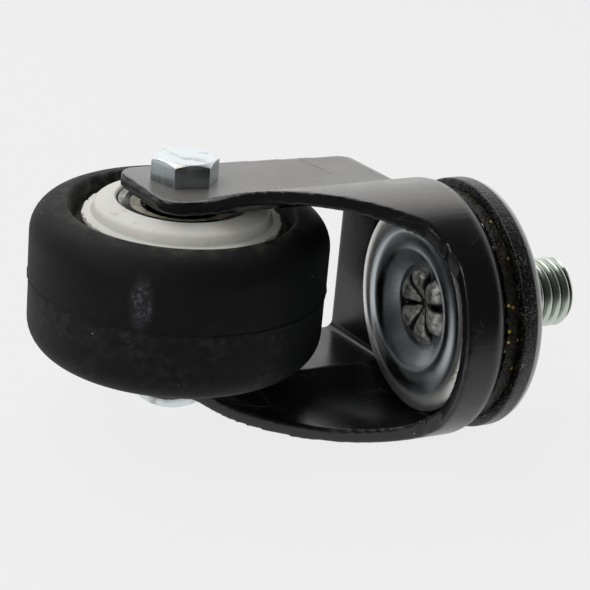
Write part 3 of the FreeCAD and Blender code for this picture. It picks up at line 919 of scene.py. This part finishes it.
side = add(
    tree, "ShaderNodeMapRange",
    {"Value": across, "From Min": 23.0 * MM, "From Max": 19.0 * MM, "To Max": 0.5},
    interpolation_type="SMOOTHSTEP",
)
smear = add(tree, "ShaderNodeTexNoise", {"Vector": centred, "Scale": grain(3.0), "Detail": 5.0})
wiped = add(
    tree, "ShaderNodeMapRange", {"Value": smear.outputs["Fac"], "From Min": 0.45, "From Max": 0.65}
)
streaks = add(tree, "ShaderNodeMath", {0: side, 1: wiped}, operation="MULTIPLY")
soiled = add(
    tree, "ShaderNodeMix", {0: streaks, 6: dust_and_bounce_lit.outputs[2], 7: linear("57534c")}, data_type="RGBA"
)
past_scuff = add(tree, "ShaderNodeVectorMath", {0: place, 1: tuple(-SCUFF * MM)}, operation="ADD")
squeezed = add(
    tree, "ShaderNodeVectorMath", {0: past_scuff, 1: (1.0, 0.42, 1.0)}, operation="MULTIPLY"
)
from_scuff = add(tree, "ShaderNodeVectorMath", {0: squeezed}, operation="LENGTH")
frayed = add(
    tree, "ShaderNodeMath",
    {0: spots.outputs["Fac"], 1: 2.4 * MM, 2: from_scuff.outputs["Value"]},
    operation="MULTIPLY_ADD",
)
in_scuff = add(
    tree, "ShaderNodeMapRange",
    {"Value": frayed, "From Min": 3.6 * MM, "From Max": 2.2 * MM, "To Max": 0.5},
    interpolation_type="SMOOTHSTEP",
)
scraped = add(
    tree, "ShaderNodeTexNoise",
    {"Vector": place, "Scale": grain(0.8), "Detail": 5.0, "Roughness": 0.7},
)
scrape = add(
    tree, "ShaderNodeMapRange",
    {"Value": scraped.outputs["Fac"], "From Min": 0.46, "From Max": 0.72, "To Min": 0.12},
)
scuffed = add(tree, "ShaderNodeMath", {0: in_scuff, 1: scrape}, operation="MULTIPLY")
rubbed_grey = add(
    tree, "ShaderNodeMix", {0: scuffed, 6: soiled.outputs[2], 7: linear("77767f")}, data_type="RGBA"
)
motes = specks(tree, place, 2.2, 0.06, 0.9)[0]
specked = add(
    tree, "ShaderNodeMix",
    {0: motes, 6: rubbed_grey.outputs[2], 7: linear("8f8f89")},
    data_type="RGBA",
)
rough = add(
    tree, "ShaderNodeMapRange", {"Value": broad.outputs["Fac"], "To Min": 0.48, "To Max": 0.72}
)
pores = add(tree, "ShaderNodeTexNoise", {"Vector": place, "Scale": grain(0.5), "Detail": 4.0})
bump = add(
    tree, "ShaderNodeBump", {"Strength": 0.25, "Distance": 0.1 * MM, "Height": pores.outputs["Fac"]}
)
link_to(shader, Base_Color=specked.outputs[2], Roughness=rough, Normal=bump)
dressed("rubber_tyre", on_axle(rubber_ring), "wheel", ["tyre"], "rubber_tyre", rubber)


# Hub: moulded in white nylon, with a raised ring round each bearing pocket. Its thin side
# flanges were trimmed by hand, so their edges are ragged.
FLANGE_RADIUS = 16.5
FLANGE_RAGGED = 0.3
RING_FOOT = 15.0
HUB_NECK = 15.9
FLANGE_INSIDE = 10.3

core = turned(both_halves([
    (8.6, 0.0),
    (8.6, 6.5),
    (11.0, 6.5),
    (11.0, 13.7),
    (11.3, 14.0, 0.15),
    (14.6, 13.0, 0.6),
    (RING_FOOT, 11.2, 0.35),
    (FLANGE_RADIUS, 11.2, 0.2),
    (FLANGE_RADIUS, FLANGE_INSIDE, 0.15),
    (HUB_NECK, FLANGE_INSIDE),
    (HUB_NECK, 9.0),
    (18.2, 8.2),
]), steps=480)
for vert in core.verts:
    across = math.hypot(vert.co.x, vert.co.y)
    if abs(vert.co.z) > FLANGE_INSIDE - 0.1 and across > HUB_NECK + 0.1:
        torn = noise.noise(vert.co * 0.8) + 0.6 * noise.noise(vert.co * 2.3)
        vert.co.xy *= 1 + FLANGE_RAGGED * torn / across

# Moulded nylon: off-white and waxy, faintly mottled, with brown finger marks and painted shade in
# the corner under the ring.
nylon, tree, shader, place = start_material(
    "moulded_white_nylon", Subsurface_Weight=0.15, Subsurface_Scale=1.5 * MM
)
across = from_axle(tree, place)[1]
mottle = add(tree, "ShaderNodeTexNoise", {"Vector": place, "Scale": grain(3.0), "Detail": 4.0})
waxy = add(
    tree, "ShaderNodeMix",
    {0: mottle.outputs["Fac"], 6: linear("d6d5cd"), 7: linear("e4e3dc")},
    data_type="RGBA",
)
marks = add(
    tree, "ShaderNodeTexNoise",
    {"Vector": place, "Scale": grain(2.1), "Detail": 7.0, "Roughness": 0.6},
)
handled = add(
    tree, "ShaderNodeMapRange",
    {"Value": marks.outputs["Fac"], "From Min": 0.62, "From Max": 0.76, "To Max": 0.35},
)
smudged = add(
    tree, "ShaderNodeMix", {0: handled, 6: waxy.outputs[2], 7: linear("8d8272")}, data_type="RGBA"
)
# Painted shade: a dark band in the corner at the ring's foot.
off = add(tree, "ShaderNodeMath", {0: across, 1: RING_FOOT * MM}, operation="SUBTRACT")
gap = add(tree, "ShaderNodeMath", {0: off}, operation="ABSOLUTE")
corner = add(
    tree, "ShaderNodeMapRange",
    {"Value": gap, "From Min": 0.3 * MM, "From Max": 0.0, "To Max": 0.2},
    interpolation_type="SMOOTHSTEP",
)
ring_foot_shaded = add(
    tree, "ShaderNodeMix", {0: corner, 6: smudged.outputs[2], 7: linear("57524a")}, data_type="RGBA"
)
rough = add(
    tree, "ShaderNodeMapRange", {"Value": marks.outputs["Fac"], "To Min": 0.36, "To Max": 0.56}
)
bump = add(
    tree, "ShaderNodeBump", {"Strength": 0.12, "Distance": 0.1 * MM, "Height": marks.outputs["Fac"]}
)
link_to(shader, Base_Color=ring_foot_shaded.outputs[2], Roughness=rough, Normal=bump)
dressed("nylon_hub", on_axle(core), "wheel", ["wheel_hub"], "white_hub", nylon)


# Bearings: two pressed-in ball bearings with ground rings, bearing balls and a cream
# moulded cage. They are open at the front and wet with grease.
ring_steel, tree, shader, place = start_material("ground_ring_steel", Metallic=1.0)
across = from_axle(tree, place)[1]
lathe = add(
    tree, "ShaderNodeTexNoise",
    {"W": across, "Scale": grain(0.25), "Detail": 3.0},
    noise_dimensions="1D",
)
film = add(tree, "ShaderNodeTexNoise", {"Vector": place, "Scale": grain(2.0), "Detail": 5.0})
ground = add(
    tree, "ShaderNodeMix",
    {0: lathe.outputs["Fac"], 6: linear("747672"), 7: linear("a3a5a1")},
    data_type="RGBA",
)
inner = add(
    tree, "ShaderNodeMapRange", {"Value": across, "From Min": 9.2 * MM, "From Max": 8.7 * MM}
)
smear = add(
    tree, "ShaderNodeMapRange",
    {"Value": film.outputs["Fac"], "From Min": 0.35, "From Max": 0.65, "To Max": 0.5},
)
oily = add(tree, "ShaderNodeMath", {0: inner, 1: smear}, operation="MAXIMUM")
wet = add(
    tree, "ShaderNodeMix", {0: oily, 6: ground.outputs[2], 7: linear("211f1c")}, data_type="RGBA"
)
rough = add(
    tree, "ShaderNodeMapRange", {"Value": film.outputs["Fac"], "To Min": 0.14, "To Max": 0.38}
)
bump = add(
    tree, "ShaderNodeBump",
    {"Strength": 0.15, "Distance": 0.05 * MM, "Height": lathe.outputs["Fac"]},
)
link_to(shader, Base_Color=wet.outputs[2], Roughness=rough, Normal=bump)

# Cage nylon: cream and waxy, soaked with oil in clouds.
cage_nylon, tree, shader, place = start_material(
    "cream_cage_nylon", Subsurface_Weight=0.1, Subsurface_Scale=1.0 * MM
)
soak = add(tree, "ShaderNodeTexNoise", {"Vector": place, "Scale": grain(1.8), "Detail": 5.0})
soaked = add(
    tree, "ShaderNodeMapRange",
    {"Value": soak.outputs["Fac"], "From Min": 0.45, "From Max": 0.7, "To Max": 0.7},
)
cream = add(
    tree, "ShaderNodeMix", {0: soaked, 6: linear("dad6bd"), 7: linear("8e886f")}, data_type="RGBA"
)
rough = add(
    tree, "ShaderNodeMapRange", {"Value": soak.outputs["Fac"], "To Min": 0.3, "To Max": 0.55}
)
bump = add(
    tree, "ShaderNodeBump", {"Strength": 0.1, "Distance": 0.1 * MM, "Height": soak.outputs["Fac"]}
)
link_to(shader, Base_Color=cream.outputs[2], Roughness=rough, Normal=bump)
for side_name in ("head_side", "nut_side"):
    finish_nodes(ring_steel, side_name + "_outer_ring", side_name + "_inner_ring")
    finish_nodes(greased_steel, side_name + "_balls")
    finish_nodes(cage_nylon, side_name + "_cage")


# Axle sleeve, distance tube and collars: cut from drawn steel tube and blued by the mill.
# They run under the bolt between the ears and keep the two bearings apart.
tube_steel, tree, shader, place = start_material("oiled_dark_tube_steel", Metallic=0.9)
drawn = add(tree, "ShaderNodeMapping", {"Vector": place, "Scale": (1.0, 0.08, 1.0)})
lines = add(tree, "ShaderNodeTexNoise", {"Vector": drawn, "Scale": grain(0.3), "Detail": 4.0})
scale = add(tree, "ShaderNodeTexNoise", {"Vector": place, "Scale": grain(2.5), "Detail": 5.0})
blued = add(
    tree, "ShaderNodeMix",
    {0: scale.outputs["Fac"], 6: linear("2a2b2d"), 7: linear("4a4948")},
    data_type="RGBA",
)
rough = add(
    tree, "ShaderNodeMapRange", {"Value": scale.outputs["Fac"], "To Min": 0.25, "To Max": 0.48}
)
bump = add(
    tree, "ShaderNodeBump", {"Strength": 0.2, "Distance": 0.05 * MM, "Height": lines.outputs["Fac"]}
)
link_to(shader, Base_Color=blued.outputs[2], Roughness=rough, Normal=bump)
finish_nodes(tube_steel, "axle_sleeve", "distance_tube", "head_side_collar", "nut_side_collar")


# Axle bolt: a cold-headed hexagon bolt, zinc-plated, its head on the +Y ear. Its top is
# turned off round, so the six corners slope away.
def break_edges(piece):
    """Rounds a piece's sharp edges by a tenth of a millimetre."""
    broken = piece.modifiers.new("worn_edges", "BEVEL")
    broken.width = 0.1 * MM
    broken.segments = 2
    broken.limit_method = "ANGLE"
    broken.angle_limit = math.radians(25)


def hexagon(height, turned_off=0.25, slope=30):
    """Hexagon head 10 mm across its flats, standing on z = 0, its top corners turned off."""
    half_width = HEXAGON_WIDTH / 2
    flat_radius = half_width - turned_off
    shape = bmesh.new()
    bmesh.ops.create_circle(shape, cap_ends=True, radius=flat_radius, segments=HEXAGON_STEPS)
    bmesh.ops.translate(shape, verts=shape.verts, vec=(0, 0, height))
    rim = shape.edges[:]
    for reach_down in (False, True):
        grown = bmesh.ops.extrude_edge_only(shape, edges=rim)["geom"]
        rim = [item for item in grown if isinstance(item, bmesh.types.BMEdge)]
        for vert in {vert for edge in rim for vert in edge.verts}:
            around = math.atan2(vert.co.y, vert.co.x)
            beside = (around + math.pi / 6) % (math.pi / 3) - math.pi / 6
            side_radius = half_width / math.cos(math.pi / 6 - abs(beside))
            vert.co.xy = Vector((math.cos(around), math.sin(around))) * side_radius
            drop = (side_radius - flat_radius) * math.tan(math.radians(slope))
            vert.co.z = 0.0 if reach_down else height - drop
        rim = [edge for edge in rim if edge.is_boundary]
    bmesh.ops.edgeloop_fill(shape, edges=[edge for edge in shape.edges if edge.is_boundary])
    bmesh.ops.recalc_face_normals(shape, faces=shape.faces)
    return shape


HEXAGON_WIDTH = 10.0
HEXAGON_STEPS = 72
HEAD_HEIGHT = 4.0
HEAD_TURN = 19.7
EAR_OUTSIDE = 17.4
BOLT_RADIUS = 3.0
BOLT_END = -23.0

bolt_head = hexagon(HEAD_HEIGHT)
bmesh.ops.translate(bolt_head, verts=bolt_head.verts, vec=(0, 0, EAR_OUTSIDE))
shank = turned([
    (0.0, BOLT_END),
    (BOLT_RADIUS - 0.6, BOLT_END, 0.15),
    (BOLT_RADIUS, BOLT_END + 0.6, 0.15),
    (BOLT_RADIUS, EAR_OUTSIDE + 0.5),
    (0.0, EAR_OUTSIDE + 0.5),
], steps=96)
bolt = joined(bolt_head, shank)

# Zinc on the bolt: satin, with a painted highlight that makes the top and the nut's outer face pale
# blue-white, brushed from top to bottom on the flats where the heading die drew it, with a brown
# tarnish in patches.
bolt_zinc, tree, shader, place = start_material("satin_zinc_bolt", Metallic=1.0)
centred = from_axle(tree, place)[0]
drawn = add(tree, "ShaderNodeMapping", {"Vector": centred, "Scale": (1.0, 0.1, 1.0)})
brushed = add(tree, "ShaderNodeTexNoise", {"Vector": drawn, "Scale": grain(0.5), "Detail": 5.0})
cloud = add(tree, "ShaderNodeTexNoise", {"Vector": centred, "Scale": grain(3.2), "Detail": 4.0})
satin = add(
    tree, "ShaderNodeMix",
    {0: brushed.outputs["Fac"], 6: linear("9aa3a4"), 7: linear("c6ced0")},
    data_type="RGBA",
)
split = add(tree, "ShaderNodeSeparateXYZ", {0: place})
# Painted highlight: the bolt's top and the nut's outer face are pale.
outward = add(tree, "ShaderNodeMath", {0: split.outputs["Y"]}, operation="ABSOLUTE")
end_highlight = add(
    tree, "ShaderNodeMapRange",
    {"Value": outward, "From Min": (EAR_OUTSIDE + 3.0) * MM, "From Max": (EAR_OUTSIDE + 3.7) * MM},
)
end_highlit = add(
    tree, "ShaderNodeMix", {0: end_highlight, 6: satin.outputs[2], 7: linear("e0e7e9")}, data_type="RGBA"
)
tarnish = add(
    tree, "ShaderNodeMapRange",
    {"Value": cloud.outputs["Fac"], "From Min": 0.56, "From Max": 0.72, "To Max": 0.6},
)
tarnished = add(
    tree, "ShaderNodeMix", {0: tarnish, 6: end_highlit.outputs[2], 7: linear("857b6a")}, data_type="RGBA"
)
rough = add(
    tree, "ShaderNodeMapRange", {"Value": brushed.outputs["Fac"], "To Min": 0.2, "To Max": 0.4}
)
bump = add(
    tree, "ShaderNodeBump",
    {"Strength": 0.2, "Distance": 0.05 * MM, "Height": brushed.outputs["Fac"]},
)
link_to(shader, Base_Color=tarnished.outputs[2], Roughness=rough, Normal=bump)
bolt = on_axle(bolt, HEAD_TURN)
break_edges(dressed("hexagon_bolt", bolt, "fork_assembly", ["axle_bolt"], "zinc_bolt", bolt_zinc))


# Axle nut: a zinc-plated hexagon nut, screwed up to the -Y ear over the bolt's end. Its outer
# face has its corners turned off and a countersink round the bolt.
NUT_HEIGHT = 5.0
NUT_TURN = 30.0
NUT_TURNED_OFF = 0.9
COUNTERSINK_INSET = 1.3
COUNTERSINK_WIDTH = 0.35
COUNTERSINK_DEPTH = 0.4

nut_body = hexagon(NUT_HEIGHT, turned_off=NUT_TURNED_OFF)
nut_face = max(nut_body.faces, key=lambda face: face.calc_center_median().z)
bmesh.ops.inset_individual(nut_body, faces=[nut_face], thickness=COUNTERSINK_INSET)
bmesh.ops.inset_individual(
    nut_body, faces=[nut_face], thickness=COUNTERSINK_WIDTH, depth=-COUNTERSINK_DEPTH
)
bmesh.ops.rotate(nut_body, verts=nut_body.verts, matrix=Matrix.Rotation(math.pi, 3, "X"))
bmesh.ops.translate(nut_body, verts=nut_body.verts, vec=(0, 0, -EAR_OUTSIDE))
nut = on_axle(nut_body, NUT_TURN)
break_edges(dressed("hexagon_nut", nut, "fork_assembly", ["axle_nut"], "zinc_bolt", bolt_zinc))
